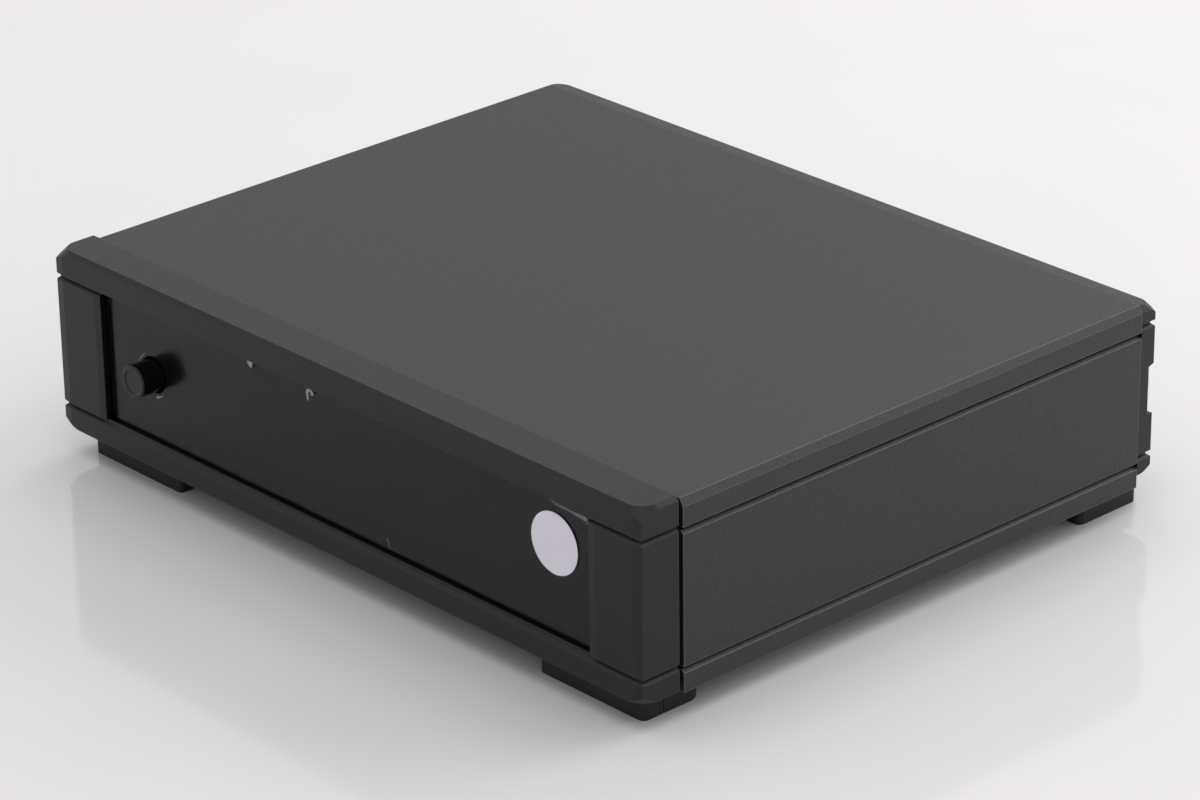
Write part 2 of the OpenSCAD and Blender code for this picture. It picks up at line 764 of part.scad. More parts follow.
// The right side panel; the left one is its mirror image
module side_panel() {
    out = half_w - seam_depth;
    web_out = half_w - wall_t - shell_clear;
    body_run() polygon([
        [half_w, body_low], [half_w, body_high - seam_gap - seam_bevel_h],
        [out, body_high - seam_gap], [web_out, body_high - seam_gap],
        [web_out, cover_top - cover_t - shell_clear], [web_out - web_t, cover_top - cover_t - shell_clear],
        [web_out - web_t, tray_top + shell_clear], [web_out, tray_top + shell_clear],
        [web_out, body_low]]);
}

module side_panel_right() {
    color("#3f3c3d") placed() side_panel();
}

module side_panel_left() {
    color("#3f3c3d") placed() mirror([1, 0, 0]) side_panel();
}

module bottom_tray() {
    wall_in = half_w - wall_t;
    strip_top = body_low - seam_gap;
    bevel_z = strip_top - seam_bevel_h;
    color("#3a3839") placed() difference() {
        body_run() polygon([
            [half_w, foot_h], [half_w, bevel_z], [half_w - seam_depth, strip_top],
            [wall_in, strip_top], [wall_in, tray_top], [-wall_in, tray_top],
            [-wall_in, strip_top], [seam_depth - half_w, strip_top], [-half_w, bevel_z],
            [-half_w, foot_h]]);
        for_pillars() tray_hole();
        for (side = [-1, 1]) {
            translate([side * bezel_screw_x, body_front + boss_l / 2, 0]) tray_hole();
            translate([side * bezel_screw_x, body_back - boss_l / 2, 0]) tray_hole();
            translate([side * foot_screw_x, foot_screw_front_y, 0]) tray_hole();
            translate([side * foot_screw_x, foot_screw_rear_y, 0]) tray_hole();
            for (y = standoff_rows) translate([side * standoff_x, y, 0]) tray_hole();
        }
    }
}

module tray_hole() {
    translate([0, 0, foot_h - cut]) cylinder(r = screw_r + screw_clear, h = tray_t + 2 * cut);
}

// ---------------------------------------------------------------- back

// Turns a piece that is drawn facing forwards so that it faces backwards at the case's back
module facing_back() {
    translate([0, case_d, 0]) mirror([0, 1, 0]) children();
}

module rear_bezel() {
    base_z = foot_h + rear_lift;
    top_z = cover_top;
    low = low_seam + rear_seam_up;
    high = high_seam + rear_seam_up;
    low_gap = low_arris + rear_seam_up;
    window_low = low_seam + rear_lip_in;
    window_high = high_seam - rear_lip_in;
    inner_half = half_w - rear_post_w;
    color("#3a3839") placed() {
        difference() {
            union() {
                facing_back() {
                    lip(half_w, 0, rear_d, base_z, low_gap, base_bevel, rear_corner_r, false);
                    bevel_plate(half_w, 0, rear_d, low_gap, low - seam_gap, head = seam_bevel);
                    bevel_plate(half_w, 0, rear_d, low, high - seam_gap, head = seam_bevel);
                    lip(half_w, 0, rear_d, high, top_z, rear_bevel, rear_corner_r, true);
                    bevel_plate(half_w - seam_depth, seam_depth, rear_d, low_gap - cut / 2,
                                high + cut);
                }
                bezel_bosses(body_back + cut, -1);
                // Feet of the bosses, which tie them to the lower lip
                for (side = [-1, 1])
                    block([side * bezel_screw_x - boss_w / 2, body_back, base_z + base_bevel],
                          [side * bezel_screw_x + boss_w / 2, rear_front + cut, tray_top + boss_h]);
            }
            // Window round the sockets
            block([-inner_half, rear_front - cut, window_low], [inner_half, case_d + cut, window_high]);
            // Sloping top
            translate([-half_w - cut, 0, 0]) rotate([90, 0, 90]) linear_extrude(case_w + 2 * cut)
                polygon([[rear_front, top_z], [case_d + cut, top_z - rear_fall * (rear_d + cut) / rear_d],
                         [case_d + cut, top_z + cut], [rear_front, top_z + cut]]);
            // Side bevels that carry on those of the cover
            both_sides() translate([0, case_d + cut, 0]) rotate([90, 0, 0])
                linear_extrude(rear_d + 2 * cut)
                polygon([[half_w - 1.5 * cover_bevel_w, top_z + cover_bevel_h / 2],
                         [half_w + cover_bevel_w / 2, top_z + cover_bevel_h / 2],
                         [half_w + cover_bevel_w / 2, top_z - 1.5 * cover_bevel_h]]);
            // Notches in the outside of the posts
            translate([-half_w - cut, 0, 0]) rotate([90, 0, 90]) linear_extrude(case_w + 2 * cut)
                polygon([[case_d + cut, low_seam + notch_low],
                         [case_d - notch_depth, low_seam + notch_low],
                         [case_d - notch_depth, low_seam + notch_low + notch_h],
                         [case_d, low_seam + notch_low + notch_h + notch_slope_h],
                         [case_d + cut, low_seam + notch_low + notch_h + notch_slope_h]]);
            for (side = [-1, 1]) boss_hole(side * bezel_screw_x, body_back - boss_l / 2);
        }
    }
}

module rear_panel() {
    side = web_x - shell_clear;
    color("#2a292a") placed() difference() {
        block([-side, rear_panel_front, tray_top + boss_h + shell_clear],
              [side, rear_panel_y, cover_top - cover_t - shell_clear]);
        for (x = socket_places) panel_hole(x, socket_z, shell_inner_r + shell_clear / 2);
        for (x = block_middles) panel_hole(x, socket_z + socket_screw_up, screw_r + screw_clear);
        panel_hole(ground_x, socket_z, stud_r + shell_clear);
        panel_hole(-inlet_x, inlet_z, inlet_nose_r + shell_clear);
    }
}

module panel_hole(x, z, r) {
    bar_y(x, rear_panel_front - cut, z, r, rear_panel_t + 2 * cut);
}

// ---------------------------------------------------------------- feet and screws

// A foot's outline at the right: x is its inner edge, and near_r and far_r are the radii of its
// outer corners at the front and at the back
module foot_outline(x, depth, near_r, far_r) {
    inner = x + foot_inner_r;
    outer = x + foot_w;
    translate([x, foot_inner_r]) square([foot_w / 2, depth - 2 * foot_inner_r]);
    translate([inner, 0]) square([foot_w / 2, depth]);
    translate([inner, 0]) square([outer - near_r - inner, depth / 2]);
    translate([inner, depth / 2]) square([outer - far_r - inner, depth / 2]);
    translate([x + foot_w / 2, near_r]) square([foot_w / 2, depth - near_r - far_r]);
    for (y = [foot_inner_r, depth - foot_inner_r]) translate([inner, y]) circle(r = foot_inner_r);
    translate([outer - near_r, near_r]) circle(r = near_r);
    translate([outer - far_r, depth - far_r]) circle(r = far_r);
}

// Draws a piece of the right side at that side, or mirrored at the left when side is -1
module at_side(side) {
    mirror([side < 0 ? 1 : 0, 0, 0]) children();
}

// Screw hole of a foot, with a counterbore that hides the head
module foot_hole(screw_y) {
    translate([foot_screw_x, screw_y, -cut])
        cylinder(r = screw_r + screw_clear, h = foot_h + 2 * cut);
    translate([foot_screw_x, screw_y, -cut])
        cylinder(r = screw_head_r + screw_clear, h = foot_h - foot_sheet + cut);
}

// A front foot, which steps up to the underside of the front bezel. Side is 1 at the right and
// -1 at the left.
module front_foot(side) {
    outer = foot_x + foot_w;
    line_y = foot_front_y + foot_line_y;
    color("#262626") placed() at_side(side) difference() {
        union() {
            translate([0, foot_front_y, 0]) linear_extrude(foot_h)
                foot_outline(foot_x, foot_d, foot_r, foot_round_r);
            intersection() {
                translate([0, foot_front_y, 0]) linear_extrude(bezel_z)
                    foot_outline(foot_x, foot_d, foot_r, foot_round_r);
                block([0, 0, 0], [half_w, front_d, bezel_z]);
            }
        }
        foot_hole(foot_screw_front_y);
        // Fine joint line down the outer side
        block([outer - foot_line_w, line_y, -cut], [outer + cut, line_y + foot_line_w, bezel_z + cut]);
    }
}

module rear_foot(side) {
    color("#262626") placed() at_side(side) difference() {
        translate([0, foot_rear_start, 0]) linear_extrude(foot_h)
            foot_outline(foot_rear_x, foot_rear_d, foot_r, foot_r);
        foot_hole(foot_screw_rear_y);
    }
}

module foot_front_left() front_foot(-1);
module foot_front_right() front_foot(1);
module foot_rear_left() rear_foot(-1);
module foot_rear_right() rear_foot(1);

module foot_screws() {
    color("#8c8c90") placed() for (side = [-1, 1]) for (y = [foot_screw_front_y, foot_screw_rear_y])
        screw_up(side * foot_screw_x, y, foot_h - foot_sheet, foot_sheet + tray_t);
}

module cover_screws() {
    color("#1e1e1f") placed() for_pillars() screw_up(0, 0, foot_h, tray_t + screw_grip);
}

module bezel_screws() {
    color("#1e1e1f") placed() for (side = [-1, 1])
        for (y = [body_front + boss_l / 2, body_back - boss_l / 2])
            screw_up(side * bezel_screw_x, y, foot_h, tray_t + boss_h - 0.3);
}

// ---------------------------------------------------------------- boards

module board_standoffs() {
    color("#c8a85a") placed() for (side = [-1, 1]) for (y = standoff_rows)
        translate([side * standoff_x, y, tray_top]) difference() {
            union() {
                cylinder(r = standoff_af / sqrt(3), h = standoff_h, $fn = 6);
                // Spigot swaged into the tray
                translate([0, 0, -tray_t])
                    cylinder(r = screw_r + screw_clear - end_gap, h = tray_t + cut);
            }
            translate([0, 0, cut]) cylinder(r = screw_r + screw_clear, h = standoff_h);
        }
}

module board_screws() {
    color("#a8a8ac") placed() for (side = [-1, 1]) for (y = standoff_rows)
        translate([side * standoff_x, y, board_top]) rotate([180, 0, 0])
            screw_up(0, 0, 0, board_t + standoff_h / 2);
}

module main_board() {
    color("#1d4a33") placed() difference() {
        block([-board_half, board_front_y, board_z], [board_half, board_back_y, board_top]);
        for_pillars() board_hole(pillar_r + pillar_clear);
        for (side = [-1, 1]) for (y = standoff_rows)
            translate([side * standoff_x, y, 0]) board_hole(screw_r + screw_clear);
    }
}

module board_hole(r) {
    translate([0, 0, board_z - cut]) cylinder(r = r, h = board_t + 2 * cut);
}

// ---------------------------------------------------------------- phono sockets

// The plastic block behind a pair of sockets, standing on the board; x is the right socket
module socket_block(x) {
    difference() {
        block([x - socket_pitch - block_side, rear_panel_front - block_d, board_top],
              [x + block_side, rear_panel_front, socket_z + block_top]);
        for (place = [x, x - socket_pitch]) bar_y(place, shell_start, socket_z, shell_inner_r, block_d);
        bar_y(x - socket_pitch / 2, rear_panel_front - screw_grip - 1, socket_z + socket_screw_up,
              screw_r + screw_clear, block_d);
    }
}

// The metal shells of a pair, narrower behind the rear panel's outer face
module socket_shells(x) {
    for (place = [x, x - socket_pitch]) difference() {
        union() {
            bar_y(place, shell_start, socket_z, shell_inner_r, rear_panel_y - shell_start + cut);
            bar_y(place, rear_panel_y, socket_z, shell_r, shell_out);
        }
        bar_y(place, shell_start - cut, socket_z, insert_r, shell_end - shell_start + 2 * cut);
    }
}

// The insulating inserts of a pair, each with a hole for the centre contact
module socket_inserts(x) {
    length = insert_face - shell_start;
    for (place = [x, x - socket_pitch]) difference() {
        bar_y(place, shell_start, socket_z, insert_r, length);
        bar_y(place, shell_start - cut, socket_z, contact_r, length + 2 * cut);
    }
}

// The centre contacts of a pair, each with a blind bore
module socket_contacts(x) {
    for (place = [x, x - socket_pitch]) difference() {
        bar_y(place, shell_start, socket_z, contact_r, insert_face - shell_start);
        bar_y(place, insert_face - contact_depth, socket_z, contact_bore_r, contact_depth + cut);
    }
}

module input_socket_block() color("#1b1b1c") placed() socket_block(input_x);
module input_socket_shells() color("#d9cfa8") placed() socket_shells(input_x);
module input_socket_inserts() color("#e8e6e0") placed() socket_inserts(input_x);
module input_socket_contacts() color("#d9cfa8") placed() socket_contacts(input_x);
module output_socket_block() color("#1b1b1c") placed() socket_block(output_x);
module output_socket_shells() color("#d9cfa8") placed() socket_shells(output_x);
module output_socket_inserts() color("#e8e6e0") placed() socket_inserts(output_x);
module output_socket_contacts() color("#d9cfa8") placed() socket_contacts(output_x);

// Screws through the rear panel into the socket blocks
module socket_screws() {
    color("#1e1e1f") placed() for (x = block_middles)
        translate([x, rear_panel_y, socket_z + socket_screw_up]) rotate([90, 0, 0])
            screw_up(0, 0, 0, rear_panel_t + screw_grip);
}

// ---------------------------------------------------------------- ground post

// The insulating collar that holds the stud in the rear panel
module ground_collar() {
    color("#1b1b1c") placed() difference() {
        bar_y(ground_x, rear_panel_y, socket_z, washer_r + 0.6, collar_t);
        bar_y(ground_x, rear_panel_y - cut, socket_z, stud_r, collar_t + 2 * cut);
    }
}

// The stud, with its square head behind the panel
module ground_stud() {
    head = 3.2 * stud_r;
    start = rear_panel_front - stud_inner;
    color("#c8a85a") placed() {
        bar_y(ground_x, start, socket_z, stud_r, stud_inner + rear_panel_t + stud_out);
        block([ground_x - head / 2, start - stud_head_t, socket_z - head / 2],
              [ground_x + head / 2, start, socket_z + head / 2]);
    }
}

// The hexagon nut that clamps the stud to the panel from behind
module ground_lock_nut() {
    color("#c8a85a") placed()
        translate([ground_x, rear_panel_front - lock_nut_t, socket_z]) rotate([-90, 0, 0])
            difference() {
                cylinder(r = 1.9 * stud_r, h = lock_nut_t, $fn = 6);
                translate([0, 0, -cut]) cylinder(r = stud_r, h = lock_nut_t + 2 * cut);
            }
}

// The washer that follows the thumb nut along the stud
module ground_washer() {
    color("#d6c48a") placed() difference() {
        bar_y(ground_x, washer_y, socket_z, washer_r, washer_t);
        bar_y(ground_x, washer_y - cut, socket_z, stud_r + thread_clear, washer_t + 2 * cut);
    }
}

// The thumb nut: a fluted body with a turned-down nose
module ground_thumb_nut() {
    nose_l = 1.4;
    flute_r = PI * nut_r / nut_flutes / 2;
    color("#d6c48a") placed() translate([ground_x, thumb_nut_y, socket_z]) rotate([-90, 0, 0])
        difference() {
            union() {
                translate([0, 0, nose_l]) difference() {
                    cylinder(r = nut_r, h = nut_l - nose_l);
                    for (i = [0:nut_flutes - 1]) rotate(360 * i / nut_flutes)
                        translate([nut_r + flute_r / 3, 0, -cut])
                            cylinder(r = flute_r, h = nut_l - nose_l + 2 * cut, $fn = 16);
                }
                cylinder(r = nut_r - 1, h = nose_l + 0.5);
            }
            translate([0, 0, -cut]) cylinder(r = stud_r + thread_clear, h = nut_l + 2 * cut);
        }
}

// ---------------------------------------------------------------- power inlet

module inlet_body() {
    color("#161617") placed() difference() {
        union() {
            block([-inlet_x - inlet_w / 2, rear_panel_front - inlet_l, board_top],
                  [-inlet_x + inlet_w / 2, rear_panel_front, board_top + inlet_w]);
            bar_y(-inlet_x, rear_panel_front - cut, inlet_z, inlet_nose_r,
                  rear_panel_t + inlet_proud + cut);
        }
        bar_y(-inlet_x, inlet_mouth - inlet_depth, inlet_z, inlet_bore_r, inlet_depth + cut);
    }
}

module inlet_pin() {
    color("#cfcfd2") placed() bar_y(-inlet_x, inlet_mouth - inlet_depth, inlet_z, inlet_pin_r,
                                    inlet_depth - inlet_pin_recess);
}

// ---------------------------------------------------------------- circuit parts

// Everything below stands on the main board. Each channel's parts repeat along X.

// An electrolytic capacitor: a can with a rolled groove near its foot
module can(x, y, r, h) {
    groove = 0.12 * r;
    translate([x, y, board_top]) rotate_extrude() polygon([
        [0, 0], [r, 0], [r, 0.1 * h], [r - groove, 0.13 * h], [r - groove, 0.17 * h],
        [r, 0.2 * h], [r, h - groove], [r - groove, h], [0, h]]);
}

module large_capacitors() {
    color("#24303f") placed() for (i = [0:2])
        can(large_cap_x, large_cap_y + i * (2 * big_cap_r + 3), big_cap_r, big_cap_h);
}

module small_capacitors() {
    color("#20262c") placed() for (x = channel_x) for (i = [-1:1])
        can(x + i * (2 * small_cap_r + 4), row_caps, small_cap_r, small_cap_h);
}

module film_capacitors() {
    color("#a33a2c") placed() for (x = channel_x) for (i = [-1, 1])
        translate([x + i * (film_cap_w / 2 + 4), row_films, board_top])
            translate([-film_cap_w / 2, -film_cap_l / 2, 0]) cube([film_cap_w, film_cap_l, film_cap_h]);
}

// Chips with a row of legs down each side
module amplifier_chips() {
    leg_pitch = 2.54;
    leg_w = 0.5;
    color("#1a1a1b") placed() for (x = channel_x) translate([x, row_chips, board_top]) {
        translate([-chip_l / 2, -chip_w / 2, 0.6]) cube([chip_l, chip_w, chip_h - 0.6]);
        for (i = [-1.5:1:1.5]) for (side = [-1, 1])
            translate([i * leg_pitch - leg_w / 2, side * (chip_w / 2 + 0.25) - 0.25, 0])
                cube([leg_w, 0.5, chip_h / 2]);
    }
}

module gain_resistors() {
    color("#5b84b8") placed() for (x = channel_x) for (i = [-3:3])
        translate([x + i * (2 * resistor_r + 2), row_resistors, board_top + resistor_r])
            rotate([90, 0, 0]) translate([0, 0, -resistor_l / 2]) cylinder(r = resistor_r, h = resistor_l);
}

module heat_sink() {
    base_t = 2;
    fin_l = 9;
    fin_t = 1;
    color("#2b2b2d") placed() translate([sink_x - sink_w / 2, sink_y, board_top]) {
        cube([sink_w, base_t, sink_h]);
        for (i = [0:sink_fins - 1])
            translate([i * (sink_w - fin_t) / (sink_fins - 1), 0, 0]) cube([fin_t, fin_l, sink_h]);
    }
}

// The regulator, bolted flat against the heat sink's base
module voltage_regulator() {
    tab_w = 10;
    tab_h = 15;
    color("#1a1a1b") placed() translate([sink_x, sink_y, board_top]) {
        translate([-tab_w / 2, -1.3, 4]) cube([tab_w, 1.3, tab_h]);
        translate([-tab_w / 2, -4.5, 4]) cube([tab_w, 3.4, tab_h * 0.6]);
        for (i = [-1:1]) translate([i * 2.54 - 0.4, -3, 0]) cube([0.8, 0.6, 4.2]);
    }
}

module muting_relay() {
    color("#d9d4c6") placed()
        block([relay_x - relay_l / 2, relay_y, board_top],
              [relay_x + relay_l / 2, relay_y + relay_w, board_top + relay_h]);
}

front_bezel();
front_panel();
protective_film();
film_sticker();
power_button();
switch_plunger();
button_spring();
power_switch();
front_board();
indicator_lamp();
light_guide();
board_header();
top_cover();
side_panel_left();
side_panel_right();
bottom_tray();
rear_bezel();
rear_panel();
foot_front_left();
foot_front_right();
foot_rear_left();
foot_rear_right();
foot_screws();
cover_screws();
bezel_screws();
board_standoffs();
board_screws();
main_board();
input_socket_block();
input_socket_shells();
input_socket_inserts();
input_socket_contacts();
output_socket_block();
output_socket_shells();
output_socket_inserts();
output_socket_contacts();
socket_screws();
ground_collar();
ground_stud();
ground_lock_nut();
ground_washer();
ground_thumb_nut();
inlet_body();
inlet_pin();
large_capacitors();
small_capacitors();
film_capacitors();
amplifier_chips();
gain_resistors();
voltage_regulator();
heat_sink();
muting_relay();
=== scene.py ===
import math
import bpy
from mathutils import Matrix, Vector


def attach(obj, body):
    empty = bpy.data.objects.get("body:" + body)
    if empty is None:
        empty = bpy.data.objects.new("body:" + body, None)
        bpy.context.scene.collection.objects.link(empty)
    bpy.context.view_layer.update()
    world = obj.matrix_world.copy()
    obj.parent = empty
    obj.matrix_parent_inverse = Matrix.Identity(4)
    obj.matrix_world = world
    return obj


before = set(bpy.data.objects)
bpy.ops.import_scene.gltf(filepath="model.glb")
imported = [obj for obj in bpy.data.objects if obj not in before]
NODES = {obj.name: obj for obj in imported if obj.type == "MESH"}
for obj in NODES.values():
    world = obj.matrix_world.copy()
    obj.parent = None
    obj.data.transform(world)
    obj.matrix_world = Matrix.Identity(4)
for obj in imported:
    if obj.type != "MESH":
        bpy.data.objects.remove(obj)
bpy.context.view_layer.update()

MM = 0.001


# ------------------------------------------------------------------ camera

# The camera stands at the front right and looks down at the case. Its place is in
# millimetres in the part's frame, its angles are in degrees, and its lens is for a 36 mm film.
CAMERA_PLACE = (686.71, -632.71, 442.71)
CAMERA_YAW = 47.432
CAMERA_PITCH = 24.485
CAMERA_ROLL = -0.809
CAMERA_LENS = 145.74
FILM_WIDTH = 36.0
# The nearest and the farthest distance that the camera sees, in metres
CAMERA_REACH = (0.01, 20.0)


def make_camera():
    """Sets up the camera from the numbers above."""
    data = bpy.data.cameras.new("camera")
    data.lens = CAMERA_LENS
    data.sensor_width = FILM_WIDTH
    data.sensor_fit = "HORIZONTAL"
    data.clip_start, data.clip_end = CAMERA_REACH
    cam = bpy.data.objects.new("camera", data)
    bpy.context.scene.collection.objects.link(cam)
    yaw, pitch, roll = (math.radians(a) for a in (CAMERA_YAW, CAMERA_PITCH, CAMERA_ROLL))
    ahead = Vector((-math.sin(yaw) * math.cos(pitch), math.cos(yaw) * math.cos(pitch),
                    -math.sin(pitch)))
    right = Vector((math.cos(yaw), math.sin(yaw), 0.0))
    up = right.cross(ahead)
    tilted_right = math.cos(roll) * right + math.sin(roll) * up
    tilted_up = -math.sin(roll) * right + math.cos(roll) * up
    turn = Matrix((tilted_right, tilted_up, -ahead)).transposed().to_4x4()
    cam.matrix_world = Matrix.Translation(Vector(CAMERA_PLACE) * MM) @ turn
    bpy.context.scene.camera = cam


make_camera()


# ------------------------------------------------------------------ materials

# Most values of a noise texture lie between these two
NOISE_SPAN = (0.3, 0.7)
# Rays that look for an edge or a near wall
WALL_SAMPLES = 8
# Cosines between the rounded and the flat normal: a point with the first is on a flat face, and
# one with the second on an edge
EDGE_FACING = (0.997, 0.965)
# The share of open sky over a face, and deep in a slot: the painted shade in slots starts at the
# first and is full at the second
OPEN_SKY = (0.78, 0.42)
# Painted shade in a slot: the colour and the gloss that it leaves there
PAINTED_SLOT_SHADE = "#030303"
PAINTED_SLOT_SHADE_GLOSS = 0.05
PLASTIC_IOR = 1.5
# The gloss of a plastic wanders over patches this much smaller than those of its tone
GLOSS_PATCH = 0.6
# Metal's tone patches, and the depth and strength of its marks
METAL_PATCH_MM = 3.0
SCRATCH_DEPTH_MM = 0.004
SCRATCH_STRENGTH = 0.25
# The gloss patches of a thin clear sheet
SHEET_PATCH_MM = 14.0


def linear(hex_colour):
    """A colour written as sRGB hex, as linear numbers with an alpha of 1."""
    parts = [int(hex_colour[i:i + 2], 16) / 255 for i in (1, 3, 5)]
    return [c / 12.92 if c <= 0.04045 else ((c + 0.055) / 1.055) ** 2.4 for c in parts] + [1.0]


def add(tree, kind, links=None, **settings):
    """Adds a node. Settings are its properties, or its sockets where the name is one.
    links maps its sockets to outputs of other nodes."""
    made = tree.nodes.new(kind)
    for key, value in settings.items():
        if hasattr(made, key):
            setattr(made, key, value)
        else:
            made.inputs[key.replace("_", " ")].default_value = value
    for socket, source in (links or {}).items():
        tree.links.new(source, made.inputs[socket])
    return made


def new_material(name, **shader):
    """A material with a Principled shader, and its tree and Object coordinates."""
    made = bpy.data.materials.new(name)
    made.use_nodes = True
    tree = made.node_tree
    principled = tree.nodes["Principled BSDF"]
    for key, value in shader.items():
        principled.inputs[key.replace("_", " ")].default_value = value
    coords = tree.nodes.new("ShaderNodeTexCoord").outputs["Object"]
    return made, tree, principled, coords


def mottle(tree, coords, colours, size_mm):
    """A colour that wanders between two tones over patches of the given size."""
    noise = add(tree, "ShaderNodeTexNoise", {"Vector": coords}, Scale=1 / (size_mm * MM),
                Detail=3.0)
    ramp = add(tree, "ShaderNodeValToRGB", {"Fac": noise.outputs["Fac"]})
    for stop, place, colour in zip(ramp.color_ramp.elements, NOISE_SPAN, colours):
        stop.position = place
        stop.color = linear(colour)
    return ramp.outputs["Color"]


def grain(tree, coords, size_mm, height_mm, strength, normal=None):
    """A bump of rounded grains of the given size and height."""
    noise = add(tree, "ShaderNodeTexNoise", {"Vector": coords}, Scale=1 / (size_mm * MM),
                Detail=2.0)
    links = {"Height": noise.outputs["Fac"]}
    if normal:
        links["Normal"] = normal
    bump = add(tree, "ShaderNodeBump", links, Strength=strength, Distance=height_mm * MM)
    return bump.outputs["Normal"]


def rough_range(tree, coords, low, high, size_mm):
    """A roughness that wanders between two values over patches of the given size."""
    noise = add(tree, "ShaderNodeTexNoise", {"Vector": coords}, Scale=1 / (size_mm * MM),
                Detail=4.0)
    spread = add(tree, "ShaderNodeMapRange", {"Value": noise.outputs["Fac"]},
                 From_Min=NOISE_SPAN[0], From_Max=NOISE_SPAN[1], To_Min=low, To_Max=high)
    return spread.outputs["Result"]


def arris(tree, radius_mm):
    """The normal of an edge that the mould leaves slightly round, and the share of edge at a point,
    from 0 on a flat face to 1 on the edge itself. The share lays on the painted edge highlight."""
    bevel = add(tree, "ShaderNodeBevel", samples=WALL_SAMPLES, Radius=radius_mm * MM)
    rounded = bevel.outputs["Normal"]
    flat = add(tree, "ShaderNodeNewGeometry").outputs["True Normal"]
    facing = add(tree, "ShaderNodeVectorMath", {0: rounded, 1: flat}, operation="DOT_PRODUCT")
    share = add(tree, "ShaderNodeMapRange", {"Value": facing.outputs["Value"]},
                From_Min=EDGE_FACING[0], From_Max=EDGE_FACING[1], To_Min=0.0, To_Max=1.0)
    return rounded, share.outputs["Result"]


def mix_tones(tree, share, colour, other):
    """A colour that gives way to another one by the given share."""
    blend = add(tree, "ShaderNodeMix", data_type="RGBA", clamp_factor=True)
    tree.links.new(share, blend.inputs[0])
    tree.links.new(colour, blend.inputs[6])
    blend.inputs[7].default_value = linear(other)
    return blend.outputs[2]


def painted_slot_shade_share(tree, reach_mm):
    """The share of a point's view that near walls close off, from 0 on an open face to 1 deep
    in a slot. It sets how much painted shade a slot gets."""
    sky = add(tree, "ShaderNodeAmbientOcclusion", samples=WALL_SAMPLES, Distance=reach_mm * MM)
    painted_shade_share = add(tree, "ShaderNodeMapRange", {"Value": sky.outputs["AO"]},
                 From_Min=OPEN_SKY[0], From_Max=OPEN_SKY[1], To_Min=0.0, To_Max=1.0)
    return painted_shade_share.outputs["Result"]


def plastic(name, dark, light, rough, grain_mm, height_mm, bump, patch_mm=9.0, ior=PLASTIC_IOR,
            gloss=0.5, edge=None, edge_mm=None, painted_shade_reach_mm=None):
    """Moulded or coated plastic: two close tones, uneven gloss and a fine grain of the given size,
    height and strength. gloss is 0.5 for a clean skin and less for a dulled one. The edge tone
    is a highlight painted pale along its edges, which show edge_mm wide, and painted shade
    darkens the colour and gloss of its slots where their walls are nearer than the slot reach."""
    made, tree, shader, coords = new_material(name, IOR=ior, Specular_IOR_Level=gloss)
    colour = mottle(tree, coords, (dark, light), patch_mm)
    rounded = None
    # Painted shade: slots and seams take a near-black tone and lose their gloss
    if painted_shade_reach_mm:
        painted_shade_share = painted_slot_shade_share(tree, painted_shade_reach_mm)
        colour = mix_tones(tree, painted_shade_share, colour, PAINTED_SLOT_SHADE)
        painted_shade_gloss = add(tree, "ShaderNodeMapRange", {"Value": painted_shade_share}, To_Min=gloss, To_Max=PAINTED_SLOT_SHADE_GLOSS)
        tree.links.new(painted_shade_gloss.outputs["Result"], shader.inputs["Specular IOR Level"])
    # Painted highlight: a paler tone laid along the edges
    if edge:
        rounded, share = arris(tree, edge_mm)
        colour = mix_tones(tree, share, colour, edge)
    tree.links.new(colour, shader.inputs["Base Color"])
    tree.links.new(rough_range(tree, coords, rough[0], rough[1], patch_mm * GLOSS_PATCH),
                   shader.inputs["Roughness"])
    tree.links.new(grain(tree, coords, grain_mm, height_mm, bump, rounded), shader.inputs["Normal"])
    return made


def metal(name, dark, light, rough, streak=(1.0, 1.0, 1.0), scratch_mm=0.25):
    """Plated or turned metal with faint marks. streak squeezes them along each axis, so they run
    along the axis of its smallest number."""
    made, tree, shader, coords = new_material(name, Metallic=1.0)
    drawn = add(tree, "ShaderNodeMapping", {"Vector": coords}, Scale=streak).outputs["Vector"]
    tree.links.new(mottle(tree, coords, (dark, light), METAL_PATCH_MM), shader.inputs["Base Color"])
    tree.links.new(rough_range(tree, drawn, rough[0], rough[1], scratch_mm),
                   shader.inputs["Roughness"])
    tree.links.new(grain(tree, drawn, scratch_mm, SCRATCH_DEPTH_MM, SCRATCH_STRENGTH),
                   shader.inputs["Normal"])
    return made


# Spark-eroded ABS of the cover, sides and tray: an even, fine leathery grain that breaks up the
# light. Real grains are about 0.2 mm; they are drawn at 0.4 mm so that they show.
# Its pale edge tone is a painted highlight, and painted shade darkens its seams.
BODY = plastic("spark_eroded_abs", "#1a1819", "#272425", (0.44, 0.56), 0.4, 0.10, 0.8,
               patch_mm=0.6, edge="#6e6b6c", edge_mm=0.22, painted_shade_reach_mm=1.2)
# Finer satin ABS of the two bezels: smoother and blacker than the body, brighter at grazing light
# Its edge tone is a faint painted highlight, and painted shade darkens its slots and the recess
# round the panel.
BEZEL = plastic("satin_moulded_abs", "#0e0d0d", "#121111", (0.36, 0.44), 0.4, 0.012, 0.25,
                patch_mm=1.5, gloss=0.34, edge="#343233", edge_mm=0.18, painted_shade_reach_mm=2.4)
# Cast acrylic of the front panel: black, and polished so that it mirrors the table softly. The
# film that clings to it takes away about half of that mirror image.
PANEL = plastic("polished_acrylic", "#040404", "#050505", (0.18, 0.22), 40.0, 0.004, 0.02,
                patch_mm=30.0, ior=1.49, gloss=0.27)
# Moulded nylon of the button, black with a soft gloss
# Its edge tone is a faint painted highlight.
BUTTON = plastic("satin_nylon", "#030303", "#040404", (0.20, 0.26), 0.30, 0.004, 0.15,
                 patch_mm=2.0, gloss=0.33, edge="#1e1d1e", edge_mm=0.15)
